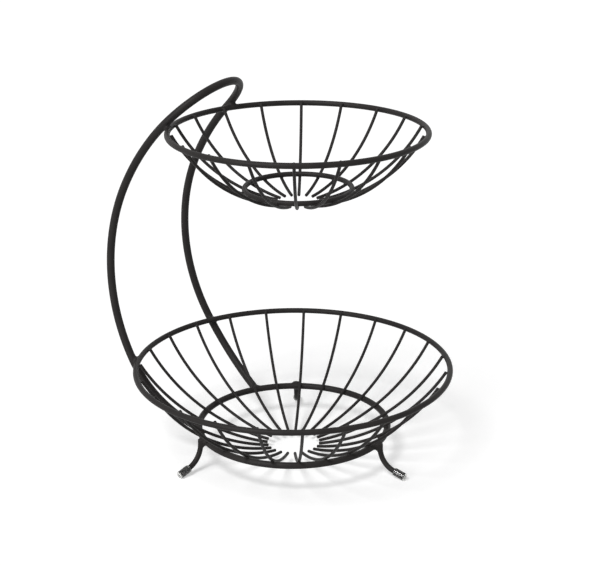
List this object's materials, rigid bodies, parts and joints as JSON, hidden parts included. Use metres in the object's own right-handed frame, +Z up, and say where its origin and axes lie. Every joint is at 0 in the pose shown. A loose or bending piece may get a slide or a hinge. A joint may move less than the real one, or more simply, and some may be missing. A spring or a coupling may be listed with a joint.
{
  "type": "tiered wire basket",
  "caption": "Tiered wire basket: a small round rib bowl over a larger one, carried by a bent arch with a loop handle, on short splayed legs with soft feet",
  "frame": {"origin": "on the surface that the basket stands on, under the middle of its outline", "axes": "+Z is up, +Y points to the side where the arch stands, +X to the right of it seen from the front"},
  "size_m": [0.2671, 0.2834, 0.3155],
  "materials": {
    "powder_coat": "satin black powder coat on steel wire",
    "clear_vinyl": "clear soft vinyl, glossy"
  },
  "bodies": {
    "root": {"lower_rim": "powder_coat", "lower_base_ring": "powder_coat", "lower_rib_01": "powder_coat", "lower_rib_02": "powder_coat", "lower_rib_03": "powder_coat", "lower_rib_04": "powder_coat", "lower_rib_05": "powder_coat", "lower_rib_06": "powder_coat", "lower_rib_07": "powder_coat", "lower_rib_08": "powder_coat", "lower_rib_09": "powder_coat", "lower_rib_10": "powder_coat", "lower_rib_11": "powder_coat", "lower_rib_12": "powder_coat", "lower_rib_13": "powder_coat", "lower_rib_14": "powder_coat", "lower_rib_15": "powder_coat", "lower_rib_16": "powder_coat", "lower_rib_17": "powder_coat", "lower_rib_18": "powder_coat", "lower_rib_19": "powder_coat", "lower_rib_20": "powder_coat", "lower_rib_21": "powder_coat", "lower_rib_22": "powder_coat", "lower_rib_23": "powder_coat", "upper_rim": "powder_coat", "upper_base_ring": "powder_coat", "upper_rib_01": "powder_coat", "upper_rib_02": "powder_coat", "upper_rib_03": "powder_coat", "upper_rib_04": "powder_coat", "upper_rib_05": "powder_coat", "upper_rib_06": "powder_coat", "upper_rib_07": "powder_coat", "upper_rib_08": "powder_coat", "upper_rib_09": "powder_coat", "upper_rib_10": "powder_coat", "upper_rib_11": "powder_coat", "upper_rib_12": "powder_coat", "upper_rib_13": "powder_coat", "upper_rib_14": "powder_coat", "upper_rib_15": "powder_coat", "upper_rib_16": "powder_coat", "upper_rib_17": "powder_coat", "upper_rib_18": "powder_coat", "arch": "powder_coat", "front_leg": "powder_coat", "left_leg": "powder_coat", "right_leg": "powder_coat", "front_foot_cap": "clear_vinyl", "left_foot_cap": "clear_vinyl", "right_foot_cap": "clear_vinyl"}
  },
  "joints": []
}
